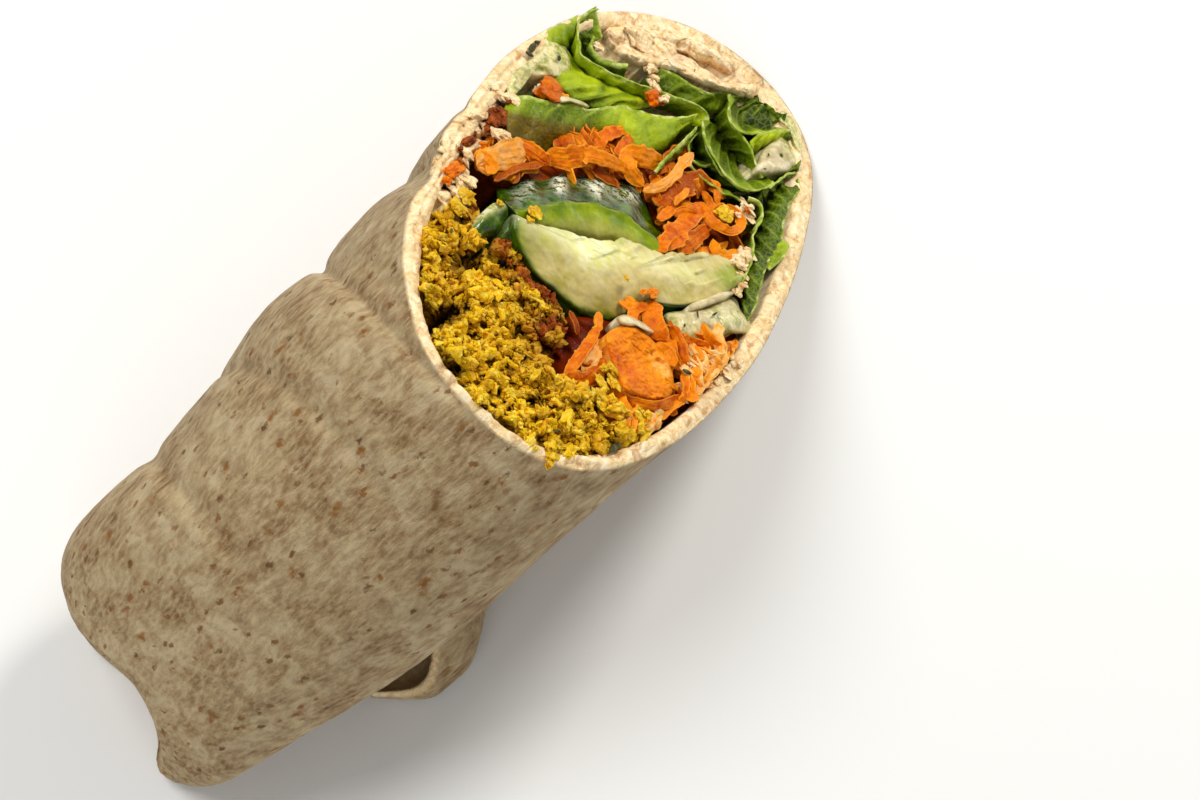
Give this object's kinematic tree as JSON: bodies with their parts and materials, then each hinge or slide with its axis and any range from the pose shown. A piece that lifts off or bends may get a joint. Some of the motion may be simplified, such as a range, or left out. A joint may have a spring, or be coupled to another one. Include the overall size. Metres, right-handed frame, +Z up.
{
  "type": "falafel wrap",
  "caption": "Half of a rolled flatbread wrap lying on its side, its closed end folded flat and its slanted cut showing falafel, cucumber, grated carrot, lettuce and sauce.",
  "frame": {"origin": "middle of the wrap's box, on the surface that it lies on", "axes": "+X along the roll toward the cut, +Y toward the side with the press marks, +Z up"},
  "size_m": [0.141, 0.0624, 0.0618],
  "materials": {
    "tortilla": "dry, floury and mottled with brown flecks of bran",
    "falafel": "crumbly, matt",
    "cucumber": "wet pale flesh, dark green skin",
    "carrot": "moist",
    "lettuce": "satin, slightly waxy",
    "sauce": "wet white sauce with herb flecks"
  },
  "bodies": {
    "root": {"tortilla": "tortilla", "falafel_upper": "falafel", "falafel_lower": "falafel", "cucumber_front": "cucumber", "cucumber_rear": "cucumber", "cucumber_small": "cucumber", "carrot_upper": "carrot", "carrot_lower": "carrot", "leaf_long_fold": "lettuce", "leaf_under_fold": "lettuce", "leaf_middle": "lettuce", "leaf_cup_top": "lettuce", "leaf_cup_middle": "lettuce", "leaf_cup_foot": "lettuce", "leaf_dark": "lettuce", "leaf_side": "lettuce", "leaf_curl": "lettuce", "leaf_strip": "lettuce", "leaf_sliver": "lettuce", "sauce_right": "sauce", "sauce_lower": "sauce", "sauce_left": "sauce"}
  },
  "joints": []
}
